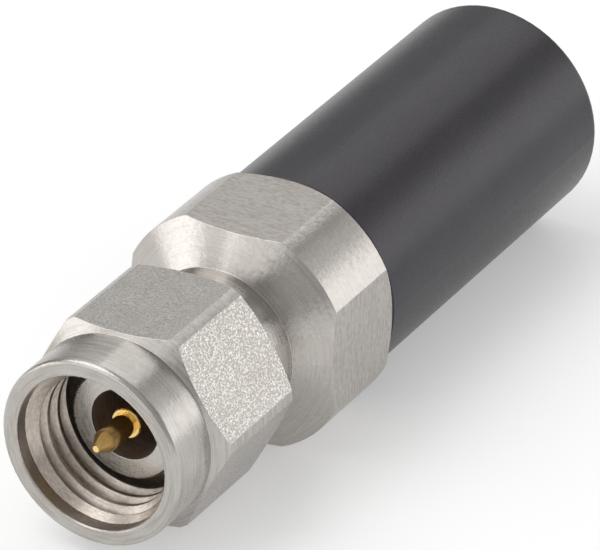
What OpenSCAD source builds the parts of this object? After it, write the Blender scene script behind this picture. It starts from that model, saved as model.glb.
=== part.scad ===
// Coaxial mismatch termination with a 2.92 mm line plug.
// A coupling nut turns on the front of a turned steel body with four spanner flats.
// A closed black sleeve covers the tail of the body, which holds the resistor.
//
// Frame: millimetres, +Z up. The connector axis is the Y axis, the mating plane is at y = 0
// and the plug faces -Y. One flat of the body faces +Z, as the part lies on a bench.

/* [Mating interface] */
// Bore of the outer conductor
line_bore_d = 2.92; // [2.4:0.02:3.5]
// Diameter of the centre conductor
conductor_d = 1.27; // [1.04:0.01:1.52]
// Diameter of the contact pin
pin_d = 0.927; // [0.7:0.001:1.0]
// Reach of the pin tip ahead of the mating plane
pin_reach = 2.03; // [1.4:0.01:2.3]
// Diameter of the small flat on the pin tip
pin_tip_d = 0.26; // [0.1:0.02:0.5]
// Length of the cone behind the pin tip
pin_cone_len = 0.56; // [0.2:0.02:0.8]
// Distance from the mating plane back to the shoulder of the pin
pin_setback = 0.07; // [0.02:0.01:0.2]
// Outer diameter of the spigot that enters the mating connector
spigot_d = 4.6; // [4.2:0.05:5.0]
// Length of that spigot
spigot_len = 2.3; // [1.9:0.05:2.6]
// Chamfer on the front edge of the spigot
spigot_chamfer = 0.084; // [0.02:0.002:0.15]

/* [Coupling nut] */
// Overall length of the nut
nut_len = 7.5; // [7.0:0.05:9.0]
// How far the nut stands ahead of the mating plane
nut_reach = 2.45; // [2.0:0.01:2.9]
// Distance across the flats of the hexagon
nut_across_flats = 8; // [7.7:0.05:9.6]
// Turned diameter that cuts the corners of the hexagon
nut_corner_d = 9; // [8.6:0.05:9.9]
// Diameter of the round collar ahead of the hexagon
nut_collar_d = 7.74; // [7.4:0.02:8.4]
// Length of the round collar
nut_collar_len = 2.28; // [1.8:0.01:2.7]
// Radius of the collar's front edge
nut_edge_r = 0.2; // [0.05:0.01:0.3]
// Chamfer at the rear of the nut's bore
nut_rear_chamfer = 0.2; // [0.1:0.05:0.3]
// Angle of the hexagon's chamfers from its end faces
nut_chamfer_angle = 30; // [15:1:40]
// Turn of the nut on its axis, as it happens to stand
nut_turn = 2.6; // [0:0.1:60]
// Major diameter of the nut's thread, which is also its clear bore
thread_major_d = 6.41; // [6.2:0.01:6.6]
// Depth from the nut's front face to the end of the thread
thread_end = 3.0; // [2.4:0.05:3.3]
// Length of the slope from the thread into the relief behind it
thread_runout = 0.1; // [0.05:0.05:0.2]
// Diameter of the relief behind the thread
thread_relief_d = 6.6; // [6.5:0.02:6.9]
// Chamfer at the mouth of the nut
nut_mouth_chamfer = 0.05; // [0.02:0.01:0.15]

/* [Plug barrel] */
// Diameter of the barrel that the nut turns on
barrel_d = 5.3; // [5.1:0.05:5.5]
// Length of the barrel behind the mating plane
barrel_len = 7.9; // [7.0:0.05:9.0]
// Thickness of the retaining ring along the axis
ring_thickness = 0.4; // [0.3:0.02:0.5]
// Radial width of the retaining ring
ring_width = 0.6; // [0.5:0.02:0.7]
// How far the retaining ring stands out of the nut's bore into its groove
ring_bite = 0.27; // [0.2:0.01:0.35]
// Angle of the gap in the retaining ring
ring_gap_angle = 24; // [10:1:40]
// Distance from the mating plane to the middle of the retaining ring
ring_place = 3.52; // [3.2:0.02:4.2]
// Room under the retaining ring, into which it is squeezed to fit the nut
ring_spring_room = 0.42; // [0.3:0.02:0.5]

/* [Body] */
// Diameter of the body's round corners
body_d = 9.95; // [9.5:0.05:12.5]
// Distance across the four spanner flats
body_across_flats = 9; // [8.6:0.05:10.5]
// Diameter of the neck behind the nut
neck_d = 6.4; // [6.1:0.05:7.0]
// Length of the neck, to the foot of the cone
neck_len = 1.66; // [1.2:0.01:2.5]
// Angle of the front cone from the end face
body_cone_angle = 30.3; // [15:0.1:45]
// Length of the body from the cone's outer edge to its rear face
body_len = 4.31; // [3.5:0.01:6.5]
// Radial depth of the chamfer on the body's rear edge
body_chamfer = 0.5; // [0.2:0.05:0.8]
// Angle of that chamfer from the rear face
body_chamfer_angle = 45; // [30:1:60]
// Diameter of the tail inside the sleeve
tail_d = 7.9; // [7.0:0.05:8.3]
// Depth of the thread relief at the foot of the tail
tail_relief_depth = 0.25; // [0.1:0.05:0.4]
// Width of that thread relief
tail_relief_w = 0.8; // [0.4:0.1:1.5]
// Length of the tail behind the body
tail_len = 13.2; // [12.9:0.1:15.0]
// Bore of the tail
tail_bore_d = 5.2; // [4.8:0.05:5.6]
// Chamfer on the rear edge of the tail
tail_chamfer = 0.3; // [0.1:0.05:0.5]

/* [Sleeve] */
// Outer diameter of the sleeve
sleeve_d = 9.1; // [8.9:0.05:11.0]
// Length of the sleeve
sleeve_len = 16.6; // [15.5:0.02:21.0]
// Thickness of the sleeve's closed end
sleeve_end_wall = 1.2; // [0.8:0.05:2.0]
// Radius of the sleeve's rear edge
sleeve_edge_r = 0.35; // [0.1:0.05:0.6]

/* [Bead and load] */
// Diameter of the support bead
bead_d = 3.8; // [3.2:0.05:4.2]
// Thickness of the support bead
bead_thickness = 1.5; // [1.0:0.05:2.0]
// Diameter of the stub that carries the bead
stub_d = 0.76; // [0.6:0.02:0.9]
// Number of small holes round the bead
bead_holes = 6; // [3:1:8]
// Length of that stub behind the bead
stub_reach = 1.1; // [0.8:0.1:1.4]
// Diameter of the small holes in the bead
bead_hole_d = 0.5; // [0.3:0.05:0.6]
// Length of the line behind the bead
rear_line_len = 2.3; // [1.8:0.1:3.0]
// Diameter of the socket that grips the resistor
socket_d = 1.8; // [1.6:0.05:2.0]
// Length of the socket
socket_len = 2.5; // [2.0:0.1:3.0]
// Thickness of the socket's floor
socket_floor = 0.5; // [0.3:0.05:0.7]
// Diameter of the resistor rod
rod_d = 1.2; // [1.0:0.02:1.3]
// Length of the resistor rod
rod_len = 11.0; // [10.0:0.1:11.4]
// Bore of the taper liner round the socket
liner_front_d = 4.14; // [3.6:0.02:4.3]
// Bore of the taper liner at its rear end
liner_rear_d = 1.6; // [1.5:0.02:2.4]
// Power of the liner's taper: above 1 it narrows fast at first
taper_power = 1.6; // [1.2:0.1:2.0]
// Length of the taper liner
liner_len = 9.4; // [8.5:0.1:9.8]
// Thickness of the ground collet's flange
collet_flange = 0.7; // [0.5:0.05:1.0]
// Length of the ground collet's fingers
collet_len = 1.6; // [1.2:0.1:1.8]
// Outer diameter of the ground collet's fingers
collet_d = 2.1; // [1.8:0.05:2.4]
// Length of the end plug
plug_len = 4.6; // [4.0:0.1:5.0]
// Radial gap round the collet's fingers inside the end plug
plug_recess_gap = 0.3; // [0.2:0.05:0.4]
// Width of the slots in the socket and the collet
slot_w = 0.16; // [0.1:0.01:0.25]
// Width of the driver slot in the end plug
driver_slot_w = 0.7; // [0.5:0.05:1.0]
// Depth of the driver slot
driver_slot_depth = 0.8; // [0.5:0.05:1.2]

/* [Edges] */
// Chamfer on the front edges of the barrel, the neck and the collet
edge_chamfer = 0.1; // [0.05:0.01:0.15]
// Chamfer on the edges of the pin's shoulder, the resistor rod and the sleeve's mouth
fine_chamfer = 0.05; // [0.02:0.01:0.08]
// Depth of the round that blends the pin's cone into its shank
pin_blend_depth = 0.04; // [0.01:0.01:0.06]
// Length of that round
pin_blend_len = 0.08; // [0.05:0.01:0.2]

/* [Fits] */
// Radial clearance of the nut on the barrel
nut_clearance = 0.1; // [0.06:0.01:0.15]
// Radial clearance of the retaining ring in the nut's groove
ring_clearance = 0.03; // [0.02:0.01:0.05]
// Side clearance of the retaining ring in the nut's groove
ring_side_clearance = 0.02; // [0.01:0.01:0.04]
// Axial float of the nut to each side
nut_float = 0.1; // [0.05:0.01:0.12]
// Gap that is left at the end of the float
float_margin = 0.01; // [0.01:0.005:0.02]
// Gap between the nut and the neck of the body
neck_gap = 0.2; // [0.15:0.01:0.4]
// Radial clearance of pieces that are screwed or pressed together
seat_clearance = 0.02; // [0.01:0.005:0.04]
// Gap at the bottom of a blind hole
end_gap = 0.1; // [0.05:0.01:0.2]

/* [Hidden] */

// Overshoot of cutting shapes
cut = 1;
// Faces of a full turn
turn_fn = 96;
// Steps of a rounded edge
edge_steps = 6;
// Steps of the liner's taper
taper_steps = 12;

// Radii that several pieces share
line_r = line_bore_d / 2;
conductor_r = conductor_d / 2;
pin_r = pin_d / 2;
spigot_r = spigot_d / 2;
barrel_r = barrel_d / 2;
rod_r = rod_d / 2;
stub_r = stub_d / 2;
bead_r = bead_d / 2;
tail_bore_r = tail_bore_d / 2;

// Nut, from its front face to its rear face
nut_front = -nut_reach;
nut_rear = nut_front + nut_len;
nut_corner_r = nut_corner_d / 2;
nut_collar_r = nut_collar_d / 2;
nut_bore_r = barrel_r + nut_clearance;
nut_shoulder = spigot_len + neck_gap;
hex_front = nut_front + nut_collar_len;
hex_slope = tan(nut_chamfer_angle);

// Retaining ring and its two grooves
ring_r = nut_bore_r + ring_bite;
ring_front = ring_place - ring_thickness / 2;
ring_rear = ring_place + ring_thickness / 2;
barrel_groove_half = ring_thickness / 2 + nut_float + float_margin;
nut_groove_r = ring_r + ring_clearance;
ring_inner_r = ring_r - ring_width;
barrel_groove_r = ring_inner_r - ring_spring_room;

// Body, along the axis
neck_r = neck_d / 2;
body_r = body_d / 2;
body_front = nut_rear + neck_gap;
cone_foot = body_front + neck_len;
cone_top = cone_foot + (body_r - neck_r) * tan(body_cone_angle);
body_rear = cone_top + body_len;
tail_r = tail_d / 2;
tail_rear = body_rear + tail_len;

// Inner pieces, along the axis
bead_rear = barrel_len;
bead_front = bead_rear - bead_thickness;
stub_rear = bead_rear + stub_reach;
line_rear = bead_rear + rear_line_len;
socket_front = line_rear + seat_clearance;
socket_rear = socket_front + socket_len;
rod_front = socket_front + socket_floor;
rod_rear = rod_front + rod_len;
liner_front = line_rear;
liner_rear = liner_front + liner_len;
collet_rear = liner_rear + collet_flange;
plug_rear = collet_rear + plug_len;

// Sleeve, along the axis
sleeve_r = sleeve_d / 2;
sleeve_rear = body_rear + sleeve_len;

// Points on an arc round a centre, from one angle to another
function arc_points(centre, r, from, to) = [
    for (i = [0:edge_steps])
        let (a = from + (to - from) * i / edge_steps)
        [centre[0] + r * cos(a), centre[1] + r * sin(a)]
];

// Bore radius of the liner at a share of its taper: it narrows fast, then levels out
function taper_r(share) =
    liner_rear_d / 2 + (liner_front_d - liner_rear_d) / 2 * pow(1 - share, taper_power);

// Stands a shape that was made along Z along the connector axis
module along_y() {
    rotate([-90, 0, 0]) children();
}

// A solid of revolution from an outline of [radius, y] points
module turned(outline) {
    along_y() rotate_extrude($fn = turn_fn) polygon(outline);
}

// A round rod between two places on the axis
module rod(r, from, to) {
    along_y() translate([0, 0, from]) cylinder(r = r, h = to - from, $fn = turn_fn);
}

// Slots that split a round end into four fingers
module finger_slots(reach, from, to) {
    for (turn = [45, 135])
        rotate([0, turn, 0])
            translate([-reach, from, -slot_w / 2])
                cube([2 * reach, to - from, slot_w]);
}

// Outline of the nut before its flats are cut
function nut_blank() = concat(
    [[0, nut_front]],
    arc_points([nut_collar_r - nut_edge_r, nut_front + nut_edge_r], nut_edge_r, -90, 0),
    [
        [nut_collar_r, hex_front],
        [nut_corner_r, hex_front + (nut_corner_r - nut_collar_r) * hex_slope],
        [nut_corner_r, nut_rear - (nut_corner_r - nut_collar_r) * hex_slope],
        [nut_collar_r, nut_rear],
        [0, nut_rear]
    ]
);

// Outline of the nut's bore: mouth, thread, relief, ring groove and rear bore
function nut_bore() =
    let (thread_r = thread_major_d / 2)
    [
        [0, nut_front - cut],
        [thread_r + nut_mouth_chamfer + cut, nut_front - cut],
        [thread_r, nut_front + nut_mouth_chamfer],
        [thread_r, nut_front + thread_end],
        [thread_relief_d / 2, nut_front + thread_end + thread_runout],
        [thread_relief_d / 2, nut_shoulder],
        [nut_bore_r, nut_shoulder],
        [nut_bore_r, ring_front - ring_side_clearance],
        [nut_groove_r, ring_front - ring_side_clearance],
        [nut_groove_r, ring_rear + ring_side_clearance],
        [nut_bore_r, ring_rear + ring_side_clearance],
        [nut_bore_r, nut_rear - nut_rear_chamfer],
        [nut_bore_r + nut_rear_chamfer + cut, nut_rear + cut],
        [0, nut_rear + cut]
    ];

module coupling_nut() {
    color("lightgray")
        difference() {
            intersection() {
                turned(nut_blank());
                along_y()
                    rotate([0, 0, -nut_turn])
                        translate([0, 0, nut_front - cut])
                            cylinder(d = nut_across_flats / cos(30), h = nut_len + 2 * cut, $fn = 6);
            }
            turned(nut_bore());
        }
}

module retaining_ring() {
    half_gap = ring_gap_angle / 2;
    reach = 2 * ring_r;
    color("goldenrod")
        difference() {
            turned([
                [ring_inner_r, ring_front],
                [ring_r, ring_front],
                [ring_r, ring_rear],
                [ring_inner_r, ring_rear]
            ]);
            along_y()
                translate([0, 0, ring_front - cut])
                    linear_extrude(ring_thickness + 2 * cut)
                        polygon([
                            [0, 0],
                            [reach * sin(half_gap), reach * cos(half_gap)],
                            [-reach * sin(half_gap), reach * cos(half_gap)]
                        ]);
        }
}

module plug_barrel() {
    color("silver")
        turned([
            [line_r, 0],
            [spigot_r - spigot_chamfer, 0],
            [spigot_r, spigot_chamfer],
            [spigot_r, spigot_len],
            [barrel_r - edge_chamfer, spigot_len],
            [barrel_r, spigot_len + edge_chamfer],
            [barrel_r, ring_place - barrel_groove_half],
            [barrel_groove_r, ring_place - barrel_groove_half],
            [barrel_groove_r, ring_place + barrel_groove_half],
            [barrel_r, ring_place + barrel_groove_half],
            [barrel_r, barrel_len],
            [bead_r + seat_clearance, barrel_len],
            [bead_r + seat_clearance, bead_front],
            [line_r, bead_front]
        ]);
}

// Outline of the body before its flats are cut
function body_blank() = [
    [0, body_front],
    [neck_r - edge_chamfer, body_front],
    [neck_r, body_front + edge_chamfer],
    [neck_r, cone_foot],
    [body_r, cone_top],
    [body_r, body_rear - body_chamfer * tan(body_chamfer_angle)],
    [body_r - body_chamfer, body_rear],
    [tail_r - tail_relief_depth, body_rear],
    [tail_r - tail_relief_depth, body_rear + tail_relief_w],
    [tail_r, body_rear + tail_relief_w + tail_relief_depth],
    [tail_r, tail_rear - tail_chamfer],
    [tail_r - tail_chamfer, tail_rear],
    [0, tail_rear]
];

// Outline of the body's bore: seat of the barrel, line, and bore of the tail
function body_bore() = [
    [0, body_front - cut],
    [barrel_r + seat_clearance, body_front - cut],
    [barrel_r + seat_clearance, barrel_len],
    [line_r, barrel_len],
    [line_r, line_rear],
    [tail_bore_r, line_rear],
    [tail_bore_r, tail_rear + cut],
    [0, tail_rear + cut]
];

module main_body() {
    color("lightgray")
        difference() {
            intersection() {
                turned(body_blank());
                translate([-body_across_flats / 2, body_front - cut, -body_across_flats / 2])
                    cube([body_across_flats, tail_rear - body_front + 2 * cut, body_across_flats]);
            }
            turned(body_bore());
        }
}

module contact_pin() {
    color("gold")
        turned([
            [0, -pin_reach],
            [pin_tip_d / 2, -pin_reach],
            [pin_r - pin_blend_depth, -pin_reach + pin_cone_len],
            [pin_r, -pin_reach + pin_cone_len + pin_blend_len],
            [pin_r, pin_setback],
            [conductor_r - fine_chamfer, pin_setback],
            [conductor_r, pin_setback + fine_chamfer],
            [conductor_r, bead_front],
            [stub_r, bead_front],
            [stub_r, stub_rear],
            [0, stub_rear]
        ]);
}

module support_bead() {
    hole_place = (bead_r + conductor_r) / 2;
    color("cornsilk")
        difference() {
            rod(bead_r, bead_front, bead_rear);
            rod(stub_r + seat_clearance, bead_front - cut, bead_rear + cut);
            for (i = [0:bead_holes - 1])
                rotate([0, i * 360 / bead_holes, 0])
                    translate([hole_place, 0, 0])
                        rod(bead_hole_d / 2, bead_front - cut, bead_rear + cut);
        }
}

module rear_conductor() {
    color("gold")
        difference() {
            turned([
                [0, bead_rear],
                [conductor_r, bead_rear],
                [conductor_r, socket_front],
                [socket_d / 2, socket_front],
                [socket_d / 2, socket_rear],
                [0, socket_rear]
            ]);
            rod(stub_r + seat_clearance, bead_rear - cut, stub_rear + end_gap);
            rod(rod_r + seat_clearance / 2, rod_front, socket_rear + cut);
            finger_slots(socket_d, rod_front, socket_rear + cut);
        }
}

module resistor_rod() {
    color("ivory")
        turned([
            [0, rod_front],
            [rod_r - fine_chamfer, rod_front],
            [rod_r, rod_front + fine_chamfer],
            [rod_r, rod_rear - fine_chamfer],
            [rod_r - fine_chamfer, rod_rear],
            [0, rod_rear]
        ]);
}

module taper_liner() {
    outer_r = tail_bore_r - seat_clearance;
    taper_front = socket_rear + end_gap;
    color("darkgoldenrod")
        turned(concat(
            [[liner_front_d / 2, liner_front], [outer_r, liner_front], [outer_r, liner_rear]],
            [
                for (i = [taper_steps:-1:0])
                    let (share = i / taper_steps)
                    [taper_r(share), taper_front + (liner_rear - taper_front) * share]
            ]
        ));
}

module ground_collet() {
    finger_rear = collet_rear + collet_len;
    color("gold")
        difference() {
            turned([
                [0, liner_rear],
                [tail_bore_r - seat_clearance, liner_rear],
                [tail_bore_r - seat_clearance, collet_rear],
                [collet_d / 2 + edge_chamfer, collet_rear],
                [collet_d / 2, collet_rear + edge_chamfer],
                [collet_d / 2, finger_rear],
                [0, finger_rear]
            ]);
            rod(rod_r + seat_clearance / 2, liner_rear - cut, finger_rear + cut);
            finger_slots(collet_d, collet_rear, finger_rear + cut);
        }
}

module end_plug() {
    plug_r = tail_bore_r - seat_clearance;
    recess_rear = collet_rear + collet_len + 2 * end_gap;
    color("darkgray")
        difference() {
            rod(plug_r, collet_rear, plug_rear);
            rod(collet_d / 2 + plug_recess_gap, collet_rear - cut, recess_rear);
            translate([-plug_r - cut, plug_rear - driver_slot_depth, -driver_slot_w / 2])
                cube([2 * (plug_r + cut), driver_slot_depth + cut, driver_slot_w]);
        }
}

module sleeve() {
    bore_r = tail_r + seat_clearance;
    edge_r = sleeve_edge_r;
    color("#3a383c")
        turned(concat(
            [
                [0, sleeve_rear - sleeve_end_wall],
                [bore_r, sleeve_rear - sleeve_end_wall],
                [bore_r, body_rear],
                [sleeve_r - fine_chamfer, body_rear],
                [sleeve_r, body_rear + fine_chamfer]
            ],
            arc_points([sleeve_r - edge_r, sleeve_rear - edge_r], edge_r, 0, 90),
            [[0, sleeve_rear]]
        ));
}

coupling_nut();
retaining_ring();
plug_barrel();
main_body();
contact_pin();
support_bead();
rear_conductor();
resistor_rod();
taper_liner();
ground_collet();
end_plug();
sleeve();
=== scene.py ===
"""Looks of a coaxial mismatch termination with a 2.92 mm line plug.

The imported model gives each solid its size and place. This script adds the thread of the
coupling nut, dresses every piece with its finish, and stands the part in a plain studio.
Lengths are in metres and angles in degrees. Patterns of the finishes count per millimetre.
"""

import logging
import math
from dataclasses import dataclass, field
from enum import Enum
from typing import Callable, ClassVar, Optional, Union

import bpy
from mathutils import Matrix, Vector


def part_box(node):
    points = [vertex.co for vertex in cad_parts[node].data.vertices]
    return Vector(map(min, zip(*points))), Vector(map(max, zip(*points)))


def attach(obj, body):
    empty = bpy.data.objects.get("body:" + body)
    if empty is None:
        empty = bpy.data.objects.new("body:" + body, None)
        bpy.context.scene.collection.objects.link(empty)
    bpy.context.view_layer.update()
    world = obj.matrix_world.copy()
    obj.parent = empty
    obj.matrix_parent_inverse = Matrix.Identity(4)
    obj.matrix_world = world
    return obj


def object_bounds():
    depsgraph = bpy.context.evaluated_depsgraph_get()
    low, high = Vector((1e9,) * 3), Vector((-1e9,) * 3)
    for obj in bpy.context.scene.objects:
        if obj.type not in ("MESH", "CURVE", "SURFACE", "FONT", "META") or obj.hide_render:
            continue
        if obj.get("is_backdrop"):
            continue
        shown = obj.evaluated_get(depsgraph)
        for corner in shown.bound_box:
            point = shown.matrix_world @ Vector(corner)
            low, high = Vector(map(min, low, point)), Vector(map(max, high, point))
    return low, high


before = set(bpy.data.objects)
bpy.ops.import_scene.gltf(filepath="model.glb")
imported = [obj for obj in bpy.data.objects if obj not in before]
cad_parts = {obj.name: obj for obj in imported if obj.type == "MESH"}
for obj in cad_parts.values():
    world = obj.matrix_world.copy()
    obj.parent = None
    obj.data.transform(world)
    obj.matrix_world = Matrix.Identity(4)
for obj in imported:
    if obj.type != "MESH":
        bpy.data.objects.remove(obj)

Socket = bpy.types.NodeSocket
Number = Union[Socket, float]
Colour = tuple[float, float, float]
Shade = Union[Socket, Colour]
Span = tuple[float, float]
Inputs = dict[Union[str, int], object]

MM = 0.001
WELD = 0.0005 * MM
# Values of a noise: the middle of them, most of them, and those from clear to full clouds.
MIDDLE = (0.35, 0.65)
MOST = (0.30, 0.70)
CLOUDS = (0.35, 0.70)
LOG = logging.getLogger("termination")


class Lay(Enum):
    """How the tool left the flats of a piece.

    Each one has two spans of the noise behind its marks: from the bottom of a mark to the level
    of the flat, where the low parts also carry painted shade, and from where the painted glints
    on the raised parts start to where they are brightest.
    """

    BLASTED = ((0.40, 0.50), (0.56, 0.62))
    MILLED = ((0.42, 0.57), (0.63, 0.69))


@dataclass(frozen=True)
class Flats:
    """The flats round a piece.

    Attributes:
        lay: How the flats are finished.
        half_span: Distance from the axis to a flat.
        angles: Angle of one flat of each opposite pair, from +X towards +Z.
    """

    lay: Lay
    half_span: float
    angles: tuple[float, ...]


@dataclass(frozen=True)
class Bore:
    """The inside of a piece, which the tool and the oil left duller.

    Attributes:
        radius: Radius that all of it lies within.
        front: Place along the axis where it starts.
        colour: Linear colour, painted light: the tone of the light inside the bore.
        grime: Linear colour where the oil has dried on it.
        roughness: Its roughness.
        spot_count: Spots of dried oil on a millimetre.
        spot_turns: How finely they change round the axis.
    """

    radius: float
    front: float
    colour: Colour
    grime: Colour
    roughness: float
    spot_count: float = 12.0
    spot_turns: float = 16.0


@dataclass(frozen=True)
class Tones:
    """Linear colours of a metal.

    Attributes:
        clean: Clean metal.
        stain: Where it is duller, and the painted shade in the pits of the marks on its flats.
        bare_and_highlight: Where it is rubbed bright, and the painted glints on the marks of its flats.
    """

    clean: Colour
    stain: Colour
    bare_and_highlight: Colour


class Graph:
    """A material's node tree, with short ways to add the nodes that the finishes share."""

    # Cosines between the rounded normal and the surface's own where an edge starts and is full.
    EDGE: ClassVar[Span] = (0.995, 0.90)

    def __init__(self, name: str) -> None:
        """Starts an empty material.

        Args:
            name: Name of the material.
        """
        self.material = bpy.data.materials.new(name)
        self.material.use_nodes = True
        self.tree = self.material.node_tree
        self.tree.nodes.clear()

    def add(self, kind: str, inputs: Optional[Inputs] = None, **settings: object) -> bpy.types.ShaderNode:
        """Adds a node.

        Args:
            kind: The node's type, without the ShaderNode in front.
            inputs: A socket to link or a plain value, by the name or number of the node's input.
            settings: The node's own settings.

        Returns:
            The node.
        """
        node = self.tree.nodes.new("ShaderNode" + kind)
        for key, value in settings.items():
            setattr(node, key, value)
        for key, term in (inputs or {}).items():
            if isinstance(term, Socket):
                self.tree.links.new(term, node.inputs[key])
            else:
                node.inputs[key].default_value = term
        return node

    def math(self, operation: str, first: Number, second: Optional[Number] = None) -> Socket:
        """Works out an operation on one or two numbers."""
        terms = {0: first} if second is None else {0: first, 1: second}
        return self.add("Math", terms, operation=operation).outputs[0]

    def blend(self, share: Socket, first: Number, second: Number) -> Socket:
        """Mixes two numbers, by the second one's share."""
        return self.add("Mix", {"Factor": share, "A": first, "B": second}).outputs["Result"]

    def tint(self, share: Socket, first: Shade, second: Shade) -> Socket:
        """Mixes two colours.

        Args:
            share: Socket of the second one's share.
            first: A socket, or linear red, green and blue.
            second: A socket, or linear red, green and blue.

        Returns:
            The result's socket.
        """
        inputs = {"Fac": share}
        for name, shade in (("Color1", first), ("Color2", second)):
            inputs[name] = shade if isinstance(shade, Socket) else (*shade, 1)
        return self.add("MixRGB", inputs).outputs["Color"]

    def spread(self, value: Socket, span: Span, onto: Span = (0.0, 1.0)) -> Socket:
        """Maps a number from one span onto another, and keeps it inside."""
        limits = {"From Min": span[0], "From Max": span[1], "To Min": onto[0], "To Max": onto[1]}
        return self.add("MapRange", {"Value": value, **limits}).outputs["Result"]

    def noise(self, vector: Socket, count: float, detail: float, depth: Optional[Socket] = None) -> Socket:
        """Adds a noise from about 0.2 to 0.8.

        Args:
            vector: Socket of the place.
            count: Its changes on a unit of the place.
            detail: Its octaves.
            depth: Socket of a fourth coordinate, if it has one.

        Returns:
            The noise's socket.
        """
        inputs = {"Vector": vector, "Scale": count, "Detail": detail}
        if depth is None:
            return self.add("TexNoise", inputs).outputs["Fac"]
        return self.add("TexNoise", {**inputs, "W": depth}, noise_dimensions="4D").outputs["Fac"]

    def bump(self, height: Socket, depth: float, normal: Socket) -> Socket:
        """Bumps a normal by a height from 0 to 1, where 1 stands for the depth."""
        inputs = {"Height": height, "Normal": normal, "Distance": depth, "Strength": 1.0}
        return self.add("Bump", inputs).outputs["Normal"]

    def face_normal(self) -> Socket:
        """The surface's own normal."""
        return self.add("NewGeometry").outputs["Normal"]

    def edges(self, radius: float) -> tuple[Socket, Socket]:
        """Rounds the edges, and finds them.

        Args:
            radius: Radius that they are broken to.

        Returns:
            Socket of the rounded normal, and socket of 1 on an edge and 0 elsewhere.
        """
        rounded = self.add("Bevel", {"Radius": radius}, samples=6).outputs["Normal"]
        terms = {0: rounded, 1: self.face_normal()}
        cosine = self.add("VectorMath", terms, operation="DOT_PRODUCT").outputs["Value"]
        return rounded, self.spread(cosine, self.EDGE)

    def finish(self, shader: Socket) -> bpy.types.Material:
        """Closes the material with its surface shader."""
        self.add("OutputMaterial", {"Surface": shader})
        return self.material


class Coordinates:
    """Places on a piece that is turned round the Y axis, in millimetres."""

    # Smallest radius that a direction is worked out with, and how far under a flat counts as on it.
    AXIS_RADIUS: ClassVar[float] = 0.01
    FLAT_MARGIN: ClassVar[float] = 0.006

    def __init__(self, graph: Graph) -> None:
        """Adds the nodes that work them out.

        Args:
            graph: The material that they belong to.
        """
        self.graph = graph
        place = graph.add("TexCoord").outputs["Object"]
        scaled = graph.add("VectorMath", {0: place, "Scale": 1 / MM}, operation="SCALE")
        self.point = scaled.outputs["Vector"]
        self.x, self.y, self.z = graph.add("SeparateXYZ", {0: self.point}).outputs
        squares = [graph.math("MULTIPLY", term, term) for term in (self.x, self.z)]
        self.radius = graph.math("SQRT", graph.math("ADD", *squares))

    def scaled(self, along: float, across: float) -> Socket:
        """The place, scaled along the Y axis and across it."""
        terms = {0: self.point, 1: (across, along, across)}
        return self.graph.add("VectorMath", terms, operation="MULTIPLY").outputs["Vector"]

    def round_way(self, along: float, turns: float) -> Socket:
        """The place with a unit direction in place of X and Z, so that it never breaks round the axis.

        Args:
            along: Scale along the Y axis.
            turns: Length of the direction.

        Returns:
            The vector's socket.
        """
        graph = self.graph
        radius = graph.math("MAXIMUM", self.radius, self.AXIS_RADIUS)
        terms = {
            0: graph.math("MULTIPLY", graph.math("DIVIDE", self.x, radius), turns),
            1: graph.math("MULTIPLY", self.y, along),
            2: graph.math("MULTIPLY", graph.math("DIVIDE", self.z, radius), turns),
        }
        return graph.add("CombineXYZ", terms).outputs["Vector"]

    def turned_noise(self, count: float, turns: float, detail: float) -> Socket:
        """A noise drawn out round the axis, with one count along the axis and along the radius."""
        depth = self.graph.math("MULTIPLY", self.radius, count)
        return self.graph.noise(self.round_way(count, turns), 1.0, detail, depth)

    def drawn_noise(self, along: float, across: float, detail: float) -> Socket:
        """A noise with one count along the axis and another across it."""
        return self.graph.noise(self.scaled(along, across), 1.0, detail)

    def on_flats(self, flats: Flats) -> Socket:
        """Whether a place lies on a flat.

        Args:
            flats: The flats.

        Returns:
            Socket of 1 on a flat and 0 elsewhere.
        """
        graph = self.graph
        reach = 0.0
        for angle in flats.angles:
            turn = math.radians(angle)
            part_x = graph.math("MULTIPLY", self.x, math.cos(turn))
            part_z = graph.math("MULTIPLY", self.z, math.sin(turn))
            reach = graph.math("MAXIMUM", reach, graph.math("ABSOLUTE", graph.math("ADD", part_x, part_z)))
        return graph.math("GREATER_THAN", reach, flats.half_span / MM - self.FLAT_MARGIN)

    def inside(self, bore: Bore) -> Socket:
        """Whether a place lies inside a bore.

        Args:
            bore: The bore.

        Returns:
            Socket of 1 inside the bore and 0 elsewhere.
        """
        graph = self.graph
        behind = graph.math("GREATER_THAN", self.y, bore.front / MM)
        return graph.math("MULTIPLY", behind, graph.math("LESS_THAN", self.radius, bore.radius / MM))

    def across_marks(self) -> Socket:
        """The direction on the surface that crosses the tool marks, which stretches a reflection.

        Returns:
            The vector's socket, in world space.
        """
        graph = self.graph
        along = graph.add("CombineXYZ", {0: self.z, 2: graph.math("MULTIPLY", self.x, -1)}).outputs["Vector"]
        ways = {"vector_type": "VECTOR", "convert_from": "OBJECT", "convert_to": "WORLD"}
        along = graph.add("VectorTransform", {"Vector": along}, **ways).outputs["Vector"]
        terms = {0: graph.face_normal(), 1: along}
        return graph.add("VectorMath", terms, operation="CROSS_PRODUCT").outputs["Vector"]


@dataclass
class Look:
    """What a finish has worked out for each place on a piece.

    Attributes:
        normal: Socket of the normal.
        rough: Socket of the roughness.
        stain: Socket of the tool marks' stain, and on the flats of the painted shade in their pits, from 0
            to 1.
        edge: Socket of 1 where the metal is rubbed bright on its edges and where the marks on its flats
            carry painted glints, and 0 elsewhere.
    """

    normal: Socket
    rough: Socket
    stain: Socket
    edge: Socket


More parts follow.
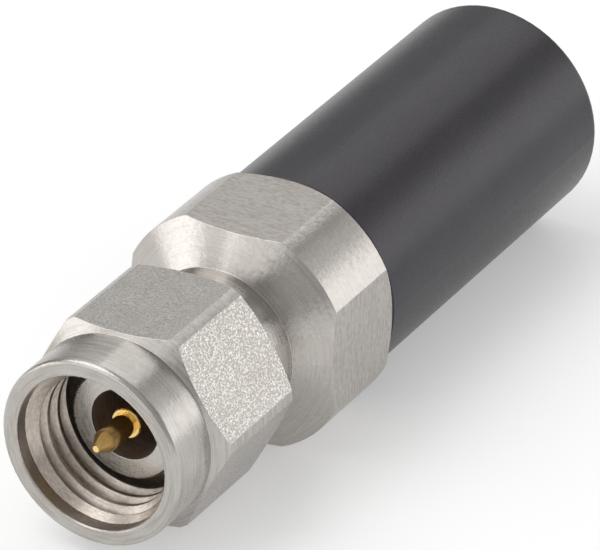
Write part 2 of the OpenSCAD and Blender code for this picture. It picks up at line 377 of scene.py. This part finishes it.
@dataclass(frozen=True)
class TurnedMetal:
    """A metal that was turned, with other tool marks on its flats.

    Attributes:
        name: Name of the material.
        tones: Its colours.
        roughness: Roughness of the turned surfaces.
        flat_roughness: Roughness of the flats.
        flats: The flats, if the piece has any.
        bore: The bore, if it can be seen.
        line_depth: Depth of the turning lines.
        line_count: Turning lines on a millimetre.
        streak: How much the lines stain the metal, from 0 to 1.
        mottle_depth: Depth of the uneven patches left by tumbling.
        mottle_count: Patches on a millimetre.
        pitting: How much its fine pits stain the metal, from 0 to 1.
        pit_count: Pits on a millimetre.
        cloudiness: How much its dull clouds stain the metal, from 0 to 1.
        cloud_count: Clouds on a millimetre.
        flat_depth: Depth of the marks on the flats.
        painted_glint: How bright the raised parts of those marks are painted, as glints, from 0 to 1.
        edge: Radius that the edges are broken to.
        anisotropy: How much the marks stretch a reflection across them.
    """

    name: str
    tones: Tones
    roughness: float = 0.28
    flat_roughness: float = 0.30
    flats: Optional[Flats] = None
    bore: Optional[Bore] = None
    line_depth: float = 0.009 * MM
    line_count: float = 9.0
    streak: float = 0.8
    mottle_depth: float = 0.006 * MM
    mottle_count: float = 5.0
    pitting: float = 0.3
    pit_count: float = 9.0
    cloudiness: float = 0.5
    cloud_count: float = 0.9
    flat_depth: float = 0.006 * MM
    painted_glint: float = 0.55
    edge: float = 0.035 * MM
    anisotropy: float = 0.6

    # Noise from clean metal to the full stain, in the lines and in the pits.
    STREAKS: ClassVar[Span] = (0.57, 0.40)
    PITS: ClassVar[Span] = (0.50, 0.36)
    # Share of the broad lines in the height, and how many times coarser they are.
    BROAD_SHARE: ClassVar[float] = 0.15
    BROAD_STEP: ClassVar[float] = 4.0
    # What the lines and the patches add to the roughness, and what a rubbed edge takes off it.
    LINE_ROUGHNESS: ClassVar[Span] = (-0.04, 0.04)
    MOTTLE_ROUGHNESS: ClassVar[Span] = (-0.02, 0.03)
    EDGE_POLISH: ClassVar[float] = 0.06
    # Spots of oil in the bore, and how much of the bore's painted colour the lines leave.
    SPOTS: ClassVar[Span] = (0.38, 0.62)
    BORE_LINES: ClassVar[Span] = (0.45, 0.60)
    BORE_SHARE: ClassVar[Span] = (1.0, 0.6)

    def lines(self, graph: Graph, at: Coordinates) -> Socket:
        """Lines round the axis, as a turning tool leaves them.

        Args:
            graph: The material.
            at: Its coordinates.

        Returns:
            Socket of the height, from 0 to 1.
        """
        fine = at.turned_noise(self.line_count, turns=2.4, detail=2.0)
        broad = at.turned_noise(self.line_count / self.BROAD_STEP, turns=1.5, detail=2.0)
        fine = graph.math("MULTIPLY", fine, 1 - self.BROAD_SHARE)
        return graph.math("ADD", fine, graph.math("MULTIPLY", broad, self.BROAD_SHARE))

    def flat_marks(self, graph: Graph, at: Coordinates) -> Socket:
        """The noise behind the marks on the flats.

        Args:
            graph: The material.
            at: Its coordinates.

        Returns:
            The noise's socket.
        """
        if self.flats.lay is Lay.BLASTED:
            return graph.noise(at.point, count=13.0, detail=3.0)
        strokes = at.drawn_noise(along=16.0, across=1.2, detail=2.0)
        patches = at.drawn_noise(along=7.0, across=4.0, detail=3.0)
        return graph.math("ADD", graph.math("MULTIPLY", strokes, 0.5), graph.math("MULTIPLY", patches, 0.5))

    def mark_flats(self, graph: Graph, at: Coordinates, lines: Socket, look: Look) -> None:
        """Adds the marks on the flats, with painted shade in their pits and painted glints on their raised
        parts, and keeps the turning lines off them.

        Args:
            graph: The material.
            at: Its coordinates.
            lines: Socket of the turning lines' height.
            look: The look, which this changes.
        """
        marked, glint_span = self.flats.lay.value
        on_flat = at.on_flats(self.flats)
        off_flat = graph.math("SUBTRACT", 1.0, on_flat)
        marks = self.flat_marks(graph, at)
        height = graph.spread(marks, marked)
        painted_glints = graph.spread(marks, glint_span, (0.0, self.painted_glint))
        look.normal = graph.bump(graph.math("MULTIPLY", lines, off_flat), self.line_depth, look.normal)
        look.normal = graph.bump(graph.math("MULTIPLY", height, on_flat), self.flat_depth, look.normal)
        look.rough = graph.blend(on_flat, look.rough, self.flat_roughness)
        # Painted shade: the low parts of the flat marks are darkened in colour, as shade in their pits.
        look.stain = graph.blend(on_flat, look.stain, graph.math("SUBTRACT", 1.0, height))
        # Painted highlight: the raised parts of the flat marks take the bright colour, as glints of light.
        look.edge = graph.math("MAXIMUM", look.edge, graph.math("MULTIPLY", painted_glints, on_flat))

    def paint_bore_light(self, graph: Graph, at: Coordinates, lines: Socket, colour: Socket) -> Socket:
        """Paints the bore's colour, which is painted light inside the bore, with spots of dried oil.

        Args:
            graph: The material.
            at: Its coordinates.
            lines: Socket of the turning lines' height.
            colour: Socket of the metal's colour.

        Returns:
            Socket of the new colour.
        """
        bore = self.bore
        spots = graph.spread(at.turned_noise(bore.spot_count, bore.spot_turns, detail=3.0), self.SPOTS)
        # Painted light: the bore's colour stands in for the light inside it; the spots between its two
        # colours are dried oil.
        bore_light_and_oil = graph.tint(spots, bore.colour, bore.grime)
        share = graph.spread(lines, self.BORE_LINES, self.BORE_SHARE)
        return graph.tint(graph.math("MULTIPLY", at.inside(bore), share), colour, bore_light_and_oil)

    def make(self) -> bpy.types.Material:
        """Builds the material.

        Returns:
            The material.
        """
        graph = Graph(self.name)
        at = Coordinates(graph)
        lines = self.lines(graph, at)
        mottle = graph.noise(at.point, self.mottle_count, detail=3.0)
        rounded, edge = graph.edges(self.edge)
        look = Look(
            normal=graph.bump(mottle, self.mottle_depth, rounded),
            rough=graph.math("ADD", graph.spread(lines, MIDDLE, self.LINE_ROUGHNESS), self.roughness),
            stain=graph.spread(lines, self.STREAKS, (0.0, self.streak)),
            edge=edge,
        )
        if self.flats is None:
            look.normal = graph.bump(lines, self.line_depth, look.normal)
        else:
            self.mark_flats(graph, at, lines, look)
        clouds = graph.noise(at.point, self.cloud_count, detail=3.0)
        clouds = graph.spread(clouds, CLOUDS, (0.0, self.cloudiness))
        pits = graph.noise(at.point, self.pit_count, detail=2.0)
        pits = graph.spread(pits, self.PITS, (0.0, self.pitting))
        dull = graph.math("MAXIMUM", clouds, graph.math("MAXIMUM", look.stain, pits))
        colour = graph.tint(dull, self.tones.clean, self.tones.stain)
        rough = graph.math("ADD", look.rough, graph.spread(mottle, MIDDLE, self.MOTTLE_ROUGHNESS))
        rough = graph.math("SUBTRACT", rough, graph.math("MULTIPLY", look.edge, self.EDGE_POLISH))
        if self.bore is not None:
            rough = graph.blend(at.inside(self.bore), rough, self.bore.roughness)
            colour = self.paint_bore_light(graph, at, lines, colour)
        inputs = {
            # Bright colour on the rubbed edges, which is wear, and on the painted glints of the flat marks.
            "Base Color": graph.tint(look.edge, colour, self.tones.bare_and_highlight),
            "Metallic": 1.0,
            "Roughness": rough,
            "Normal": look.normal,
            "Anisotropic": self.anisotropy,
            "Tangent": at.across_marks(),
        }
        return graph.finish(graph.add("BsdfPrincipled", inputs).outputs["BSDF"])


@dataclass(frozen=True)
class Anodised:
    """Black anodised aluminium: a fine matt grain over faint turning lines.

    Attributes:
        name: Name of the material.
        colour: Linear colour of the film.
        worn: Linear colour where the film is thinner.
        rubbed: Linear colour of its edges.
        roughness: Its roughness.
        edge: Radius that the edges are broken to.
        line_count: Turning lines on a millimetre.
        line_depth: Their depth.
        grain_count: Grains on a millimetre.
        grain_depth: Their depth.
    """

    name: str = "black_anodised"
    colour: Colour = (0.010, 0.0085, 0.0115)
    worn: Colour = (0.0175, 0.0155, 0.0195)
    rubbed: Colour = (0.05, 0.048, 0.054)
    roughness: float = 0.31
    edge: float = 0.05 * MM
    line_count: float = 14.0
    line_depth: float = 0.003 * MM
    grain_count: float = 14.0
    grain_depth: float = 0.006 * MM

    # Noise from the full film to the worn one, and what the grain adds to the roughness.
    WEAR: ClassVar[Span] = (0.4, 0.6)
    GRAIN_ROUGHNESS: ClassVar[Span] = (-0.06, 0.06)

    def make(self) -> bpy.types.Material:
        """Builds the material.

        Returns:
            The material.
        """
        graph = Graph(self.name)
        at = Coordinates(graph)
        grain = graph.noise(at.point, self.grain_count, detail=2.0)
        lines = at.turned_noise(self.line_count, turns=1.5, detail=2.0)
        normal, edge = graph.edges(self.edge)
        normal = graph.bump(lines, self.line_depth, normal)
        normal = graph.bump(grain, self.grain_depth, normal)
        clouds = graph.math("MULTIPLY", at.drawn_noise(along=0.5, across=0.8, detail=4.0), 0.5)
        thin = graph.math("ADD", clouds, graph.math("MULTIPLY", grain, 0.5))
        film = graph.tint(graph.spread(thin, self.WEAR), self.colour, self.worn)
        inputs = {
            "Base Color": graph.tint(edge, film, self.rubbed),
            "Roughness": graph.math("ADD", graph.spread(grain, MOST, self.GRAIN_ROUGHNESS), self.roughness),
            "Normal": normal,
            "IOR": 1.5,
            "Specular Tint": (0.97, 0.93, 0.98, 1),
        }
        return graph.finish(graph.add("BsdfPrincipled", inputs).outputs["BSDF"])


@dataclass(frozen=True)
class Moulded:
    """A plain moulded or fired body with a fine grain.

    Attributes:
        name: Name of the material.
        colour: Linear colour.
        shade: Linear colour of its darker clouds.
        roughness: Its roughness.
        grain_count: Grains on a millimetre.
        grain_depth: Their depth.
        cloud_count: Clouds on a millimetre.
    """

    name: str
    colour: Colour
    shade: Colour
    roughness: float = 0.45
    grain_count: float = 9.0
    grain_depth: float = 0.002 * MM
    cloud_count: float = 1.5

    # What the grain adds to the roughness.
    GRAIN_ROUGHNESS: ClassVar[Span] = (-0.05, 0.05)

    def make(self) -> bpy.types.Material:
        """Builds the material.

        Returns:
            The material.
        """
        graph = Graph(self.name)
        at = Coordinates(graph)
        grain = graph.noise(at.point, self.grain_count, detail=3.0)
        clouds = graph.spread(graph.noise(at.point, self.cloud_count, detail=3.0), CLOUDS)
        inputs = {
            "Base Color": graph.tint(clouds, self.colour, self.shade),
            "Roughness": graph.math("ADD", graph.spread(grain, MOST, self.GRAIN_ROUGHNESS), self.roughness),
            "Normal": graph.bump(grain, self.grain_depth, graph.face_normal()),
        }
        return graph.finish(graph.add("BsdfPrincipled", inputs).outputs["BSDF"])


STEEL = Tones((0.52, 0.497, 0.466), (0.40, 0.375, 0.346), (0.60, 0.58, 0.55))
# The nut's stain is darker for the painted shade in the pits of its flats, and its bright colour lighter for
# their painted glints.
NUT_STEEL = Tones((0.52, 0.497, 0.466), (0.38, 0.355, 0.327), (0.66, 0.64, 0.61))
BODY_STEEL = Tones((0.54, 0.516, 0.484), (0.42, 0.383, 0.35), (0.62, 0.60, 0.57))
# Lighter than the other steels: painted light, which makes up for the shade that the nut's collar casts on
# the outer conductor.
BARREL_STEEL_PAINTED_LIGHT = Tones((0.59, 0.565, 0.53), (0.48, 0.455, 0.42), (0.64, 0.62, 0.59))
GOLD = Tones((0.92, 0.68, 0.30), (0.84, 0.57, 0.21), (0.95, 0.73, 0.38))
BRONZE = Tones((0.75, 0.50, 0.30), (0.62, 0.40, 0.24), (0.80, 0.56, 0.36))
BRASS = Tones((0.78, 0.58, 0.28), (0.66, 0.47, 0.21), (0.84, 0.66, 0.36))


def dress(node: str, material: bpy.types.Material) -> None:
    """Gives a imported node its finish.

    Args:
        node: Name of the node.
        material: The finish.
    """
    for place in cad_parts[node].material_slots:
        place.material = material
    LOG.info("dressed %s with %s", node, material.name)


def start_piece() -> None:
    """Deselects everything, so that an operator acts on the new piece alone."""
    bpy.ops.object.select_all(action="DESELECT")
    bpy.context.view_layer.objects.active = None


def pick(obj: bpy.types.Object, wanted: Callable[[Vector], bool]) -> None:
    """Selects vertices of a mesh in edit mode.

    Args:
        obj: The mesh object.
        wanted: Says for a vertex's place whether it is selected.
    """
    bpy.ops.mesh.select_all(action="DESELECT")
    bpy.ops.object.mode_set(mode="OBJECT")
    for vertex in obj.data.vertices:
        vertex.select = wanted(vertex.co)
    bpy.ops.object.mode_set(mode="EDIT")


@dataclass
class CouplingNut:
    """The nut that turns on the plug, with its thread.

    Attributes:
        pitch: Pitch of the thread, 36 to the inch.
        crest_radius: Radius of the thread's crests.
        root_radius: Radius of the foot of a ridge, a little inside the nut's wall.
        crest_width: Width of the flat on a crest.
        flank_angle: Angle of a flank from square to the axis.
        crest_round: Radius of the crest's edges.
        thread_from: Depth from the nut's front face to the start of the thread.
        thread_to: Depth from the nut's front face to its end.
        first_crest: Depth of the middle of the first crest, on the +X side.
        mouth_slope: How much deeper the thread starts at its crests than at its root.
        runout_slope: How much earlier it ends at its crests.
        cut_margin: How far the room that it is cut to reaches past its crests and its root.
        spare_turns: Turns wound beyond the thread's length, to be cut off.
        steps: Steps of one turn.
        smooth_angle: Angle between faces up to which they are shaded smooth.
        turn: Turn of the hexagon on its axis.
        half_span: Distance from the axis to a flat.
        bore_radius: Radius that the bore lies within.
        bore_depth: Depth from the nut's front face to where the bore's painted colour starts.
        finish: Its finish.
    """

    pitch: float = 25.4 * MM / 36
    crest_radius: float = 2.80 * MM
    root_radius: float = 3.25 * MM
    crest_width: float = 0.176 * MM
    flank_angle: float = 30.0
    crest_round: float = 0.025 * MM
    thread_from: float = 0.50 * MM
    thread_to: float = 3.00 * MM
    first_crest: float = 0.54 * MM
    mouth_slope: float = 0.55 * MM
    runout_slope: float = 0.12 * MM
    cut_margin: float = 0.05 * MM
    spare_turns: int = 2
    steps: int = 120
    smooth_angle: float = 28.0
    turn: float = 2.6
    half_span: float = 4.0 * MM
    bore_radius: float = 3.6 * MM
    bore_depth: float = 0.03 * MM
    finish: TurnedMetal = field(init=False)

    def __post_init__(self) -> None:
        """Works out the finish from the hexagon and the bore."""
        angles = tuple(30.0 + self.turn + 60.0 * pair for pair in range(3))
        front = self.face() + self.bore_depth
        self.finish = TurnedMetal(
            name="nut_steel",
            tones=NUT_STEEL,
            flats=Flats(Lay.BLASTED, self.half_span, angles),
            # The bore's colour, lighter and warmer than the steel, is painted light: the light bounced round
            # inside the nut. Its spots are dried oil.
            bore=Bore(self.bore_radius, front, (0.60, 0.53, 0.465), (0.44, 0.38, 0.33), roughness=0.36),
            flat_depth=0.004 * MM,
        )

    @staticmethod
    def face() -> float:
        """Gives the place of the nut's front face along the axis."""
        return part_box("coupling_nut")[0].y

    def section(self, front: float) -> bpy.types.Object:
        """The section of one ridge, as an outline in the XY plane.

        Args:
            front: Place of its middle along the axis.

        Returns:
            The object with the outline's four sides and rounded crest.
        """
        height = self.root_radius - self.crest_radius
        foot = self.crest_width + 2 * height * math.tan(math.radians(self.flank_angle))
        middle = Vector(((self.root_radius + self.crest_radius) / 2, front, 0))
        start_piece()
        bpy.ops.mesh.primitive_plane_add(size=1, location=middle)
        ridge = bpy.context.active_object
        ridge.name = "nut_thread"
        bpy.ops.object.transform_apply(location=True)
        bpy.ops.object.mode_set(mode="EDIT")
        bpy.ops.mesh.select_all(action="SELECT")
        bpy.ops.transform.resize(value=(height, foot, 1), center_override=middle)
        pick(ridge, lambda place: place.x < middle.x)
        bpy.ops.transform.resize(value=(1, self.crest_width / foot, 1), center_override=middle)
        bpy.ops.mesh.bevel(offset=self.crest_round, segments=3, affect="VERTICES")
        bpy.ops.mesh.select_all(action="SELECT")
        bpy.ops.mesh.delete(type="ONLY_FACE")
        bpy.ops.object.mode_set(mode="OBJECT")
        return ridge

    def envelope(self) -> bpy.types.Object:
        """The room that the thread fills: a ring with a slope at the mouth and one at the runout.

        Returns:
            The ring's section, as an outline in the XY plane.
        """
        inner, outer = self.crest_radius - self.cut_margin, self.root_radius + self.cut_margin
        length = self.thread_to - self.thread_from
        middle = Vector(((inner + outer) / 2, self.face() + (self.thread_from + self.thread_to) / 2, 0))
        start_piece()
        bpy.ops.mesh.primitive_plane_add(size=1, location=middle)
        ring = bpy.context.active_object
        bpy.ops.object.transform_apply(location=True)
        bpy.ops.object.mode_set(mode="EDIT")
        bpy.ops.mesh.select_all(action="SELECT")
        bpy.ops.transform.resize(value=(outer - inner, length, 1), center_override=middle)
        pick(ring, lambda place: place.x < middle.x and place.y < middle.y)
        bpy.ops.transform.translate(value=(0, self.mouth_slope, 0))
        pick(ring, lambda place: place.x < middle.x and place.y > middle.y)
        bpy.ops.transform.translate(value=(0, -self.runout_slope, 0))
        bpy.ops.mesh.select_all(action="SELECT")
        bpy.ops.mesh.delete(type="ONLY_FACE")
        bpy.ops.object.mode_set(mode="OBJECT")
        return ring

    def wind(self, outline: bpy.types.Object, rise: float, turns: int) -> None:
        """Winds an outline round the Y axis.

        Args:
            outline: The object with the outline.
            rise: How far one turn goes along the axis.
            turns: Number of turns.
        """
        winding = outline.modifiers.new("winding", "SCREW")
        winding.axis = "Y"
        winding.angle = math.tau
        winding.screw_offset = rise
        winding.iterations = turns
        winding.steps = self.steps
        winding.render_steps = self.steps
        winding.use_merge_vertices = False
        start_piece()
        bpy.context.view_layer.objects.active = outline
        outline.select_set(True)
        bpy.ops.object.modifier_apply(modifier=winding.name)
        bpy.ops.object.mode_set(mode="EDIT")
        bpy.ops.mesh.select_all(action="SELECT")
        if rise == 0:
            bpy.ops.mesh.remove_doubles(threshold=WELD)
        bpy.ops.mesh.fill_holes(sides=0)
        bpy.ops.mesh.normals_make_consistent(inside=False)
        bpy.ops.object.mode_set(mode="OBJECT")

    def thread(self) -> bpy.types.Object:
        """The thread: one ridge wound round the bore, cut to the room between mouth and relief.

        Returns:
            The thread.
        """
        turns = math.ceil((self.thread_to - self.thread_from) / self.pitch) + self.spare_turns
        ring = self.envelope()
        self.wind(ring, 0.0, 1)
        ridge = self.section(self.face() + self.first_crest - self.spare_turns * self.pitch)
        self.wind(ridge, self.pitch, turns)
        cut = ridge.modifiers.new("cut", "BOOLEAN")
        cut.operation = "INTERSECT"
        cut.solver = "EXACT"
        cut.object = ring
        bpy.ops.object.modifier_apply(modifier=cut.name)
        bpy.data.objects.remove(ring)
        bpy.ops.object.mode_set(mode="EDIT")
        bpy.ops.mesh.select_all(action="SELECT")
        bpy.ops.mesh.remove_doubles(threshold=WELD)
        bpy.ops.mesh.quads_convert_to_tris()
        bpy.ops.mesh.normals_make_consistent(inside=False)
        bpy.ops.object.mode_set(mode="OBJECT")
        bpy.ops.object.shade_smooth_by_angle(angle=math.radians(self.smooth_angle))
        return ridge

    def build(self) -> None:
        """Builds the thread and dresses the nut."""
        material = self.finish.make()
        dress("coupling_nut", material)
        thread = self.thread()
        thread.data.materials.append(material)
        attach(thread, "nut")
        LOG.info("built %s with %d faces", thread.name, len(thread.data.polygons))


@dataclass
class PlugLine:
    """The plug's line: outer conductor, ring, pin and bead.

    Attributes:
        barrel: Finish of the outer conductor.
        ring: Finish of the retaining ring.
        gold: Finish of the centre conductor and the ground collet.
        bead: Finish of the bead.
    """

    barrel: TurnedMetal = TurnedMetal(
        name="barrel_steel",
        tones=BARREL_STEEL_PAINTED_LIGHT,
        line_depth=0.0012 * MM,
        streak=0.25,
        mottle_depth=0.003 * MM,
        # The brown of this steel bore is painted light: the dark, warm tone of the deep cavity round the
        # pin. Its spots are dried oil.
        bore=Bore(1.47 * MM, 0.02 * MM, (0.46, 0.34, 0.27), (0.38, 0.275, 0.215), roughness=0.5),
    )
    ring: TurnedMetal = TurnedMetal("spring_bronze", BRONZE, roughness=0.35)
    gold: TurnedMetal = TurnedMetal(
        name="gold_plate",
        tones=GOLD,
        roughness=0.13,
        line_depth=0.0005 * MM,
        line_count=40.0,
        mottle_depth=0.001 * MM,
        edge=0.02 * MM,
    )
    bead: Moulded = Moulded("bead_plastic", (0.62, 0.41, 0.27), (0.50, 0.32, 0.20))

    def build(self) -> None:
        """Dresses the pieces of the line."""
        gold = self.gold.make()
        dress("plug_barrel", self.barrel.make())
        dress("retaining_ring", self.ring.make())
        dress("contact_pin", gold)
        dress("rear_conductor", gold)
        dress("ground_collet", gold)
        dress("support_bead", self.bead.make())


@dataclass
class SteelBody:
    """The body with its four spanner flats.

    Attributes:
        half_span: Distance from the axis to a flat.
        finish: Its finish.
    """

    half_span: float = 4.5 * MM
    finish: TurnedMetal = field(init=False)

    def __post_init__(self) -> None:
        """Works out the finish from the flats."""
        self.finish = TurnedMetal(
            name="body_steel",
            tones=BODY_STEEL,
            roughness=0.24,
            line_depth=0.004 * MM,
            line_count=12.0,
            streak=0.6,
            pitting=0.45,
            flat_depth=0.002 * MM,
            anisotropy=0.85,
            flats=Flats(Lay.MILLED, self.half_span, (0.0, 90.0)),
        )

    def build(self) -> None:
        """Dresses the body."""
        dress("main_body", self.finish.make())


@dataclass
class Load:
    """The load inside the body's tail, and the sleeve over it.

    Attributes:
        rod: Finish of the resistor rod.
        liner: Finish of the tapered liner.
        plug: Finish of the screw plug.
        sleeve: Finish of the sleeve.
    """

    rod: Moulded = Moulded("rod_ceramic", (0.72, 0.69, 0.62), (0.60, 0.57, 0.50))
    liner: TurnedMetal = TurnedMetal("liner_brass", BRASS)
    plug: TurnedMetal = TurnedMetal("plug_steel", STEEL, roughness=0.34)
    sleeve: Anodised = Anodised()

    def build(self) -> None:
        """Dresses the load's pieces and the sleeve."""
        dress("resistor_rod", self.rod.make())
        dress("taper_liner", self.liner.make())
        dress("end_plug", self.plug.make())
        dress("sleeve", self.sleeve.make())


@dataclass(frozen=True)
class Softbox:
    """A rectangular lamp that faces the part.

    Attributes:
        name: Name of the lamp.
        azimuth: Where it stands, from -Y towards +X.
        elevation: How high it stands.
        width: Its width.
        height: Its height.
        radiance: Its brightness, where 1 is white.
        distance: Its distance.
    """

    name: str
    azimuth: float
    elevation: float
    width: float
    height: float
    radiance: float
    distance: float = 0.4


SOFTBOXES = (
    Softbox("box_left", -60.0, 8.0, 0.22, 0.18, 1.86),
    Softbox("box_left_front", -36.0, 12.0, 0.14, 0.18, 0.95),
    Softbox("box_front", -14.0, 16.0, 0.20, 0.24, 1.0),
    Softbox("box_camera", 38.0, 34.0, 0.28, 0.28, 0.2),
    Softbox("box_right", 135.0, 9.5, 0.36, 0.17, 1.36),
    Softbox("box_back_right", 149.0, 28.0, 0.15, 0.15, 0.43),
    Softbox("box_back", 188.0, 42.0, 0.24, 0.20, 1.05),
    Softbox("box_back_left", 226.0, 36.0, 0.22, 0.20, 0.4),
    Softbox("box_high", -60.0, 60.0, 0.40, 0.32, 2.0),
)


@dataclass
class Studio:
    """The camera, the lamps, the room's light and the floor.

    Attributes:
        aim: Point in the middle of the picture.
        azimuth: Where the camera stands, from -Y towards +X.
        elevation: How high it stands.
        distance: Its distance from the point.
        lens: Its focal length in millimetres.
        sensor: Width of its sensor in millimetres.
        near: Nearest distance that it shows.
        room: Brightness of the room round the part.
        floor_size: Side of the floor.
        floor_colour: Linear colour of the floor.
        floor_lift: Light that the floor gives off in the picture and in reflections.
    """

    aim: Vector = field(default_factory=lambda: Vector((5.06, 4.28, 5.78)) * MM)
    azimuth: float = 30.36
    elevation: float = 30.01
    distance: float = 0.24
    lens: float = 390.0
    sensor: float = 36.0
    near: float = 0.01
    room: float = 0.45
    floor_size: float = 6.0
    floor_colour: Colour = (0.71, 0.71, 0.71)
    floor_lift: float = 0.34

    @staticmethod
    def direction(azimuth: float, elevation: float) -> Vector:
        """The unit vector from the part towards a lamp or a camera."""
        turn, rise = math.radians(azimuth), math.radians(elevation)
        return Vector((math.sin(turn) * math.cos(rise), -math.cos(turn) * math.cos(rise), math.sin(rise)))

    def place(self, obj: bpy.types.Object, way: Vector, distance: float) -> None:
        """Stands a lamp or a camera round the part, facing it.

        Args:
            obj: The lamp or camera.
            way: Direction from the aim to its place.
            distance: Its distance from the aim.
        """
        bpy.context.scene.collection.objects.link(obj)
        obj.location = self.aim + way * distance
        obj.rotation_euler = (-way).to_track_quat("-Z", "Y").to_euler()

    def camera(self) -> None:
        """Sets the camera at the photograph's angle."""
        data = bpy.data.cameras.new("camera")
        data.lens = self.lens
        data.sensor_width = self.sensor
        data.clip_start = self.near
        camera = bpy.data.objects.new("camera", data)
        self.place(camera, self.direction(self.azimuth, self.elevation), self.distance)
        bpy.context.scene.camera = camera

    def lamps(self) -> None:
        """Hangs the softboxes and sets the room's own light."""
        for box in SOFTBOXES:
            data = bpy.data.lights.new(box.name, "AREA")
            data.shape = "RECTANGLE"
            data.size = box.width
            data.size_y = box.height
            data.energy = box.radiance * math.pi * box.width * box.height
            lamp = bpy.data.objects.new(box.name, data)
            self.place(lamp, self.direction(box.azimuth, box.elevation), box.distance)
            lamp.visible_camera = False
        world = bpy.data.worlds.new("room")
        world.use_nodes = True
        back = world.node_tree.nodes["Background"]
        back.inputs["Color"].default_value = (1, 1, 1, 1)
        back.inputs["Strength"].default_value = self.room
        bpy.context.scene.world = world

    def floor(self) -> None:
        """Lays the floor under the part."""
        start_piece()
        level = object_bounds()[0].z
        bpy.ops.mesh.primitive_plane_add(size=self.floor_size, location=(0, 0, level))
        floor = bpy.context.active_object
        floor.name = "floor"
        graph = Graph("pale_floor")
        paper = graph.add("BsdfDiffuse", {"Color": (*self.floor_colour, 1)}).outputs[0]
        path = graph.add("LightPath").outputs
        seen = graph.math("MAXIMUM", path["Is Camera Ray"], path["Is Glossy Ray"])
        seen = graph.math("MAXIMUM", seen, path["Is Transmission Ray"])
        strength = graph.math("MULTIPLY", seen, self.floor_lift)
        lift = graph.add("Emission", {"Strength": strength}).outputs[0]
        shader = graph.add("AddShader", {0: paper, 1: lift}).outputs[0]
        floor.data.materials.append(graph.finish(shader))
        floor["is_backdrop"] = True

    def build(self) -> None:
        """Builds the whole studio."""
        self.camera()
        self.lamps()
        self.floor()
        bpy.context.scene.view_settings.view_transform = "Standard"
        LOG.info("built the studio")


def main() -> None:
    """Builds the studio and the part, piece by piece."""
    logging.basicConfig(level=logging.INFO, format="%(name)s: %(message)s")
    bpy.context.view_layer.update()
    Studio().build()
    CouplingNut().build()
    PlugLine().build()
    SteelBody().build()
    Load().build()


if __name__ == "__main__":
    main()
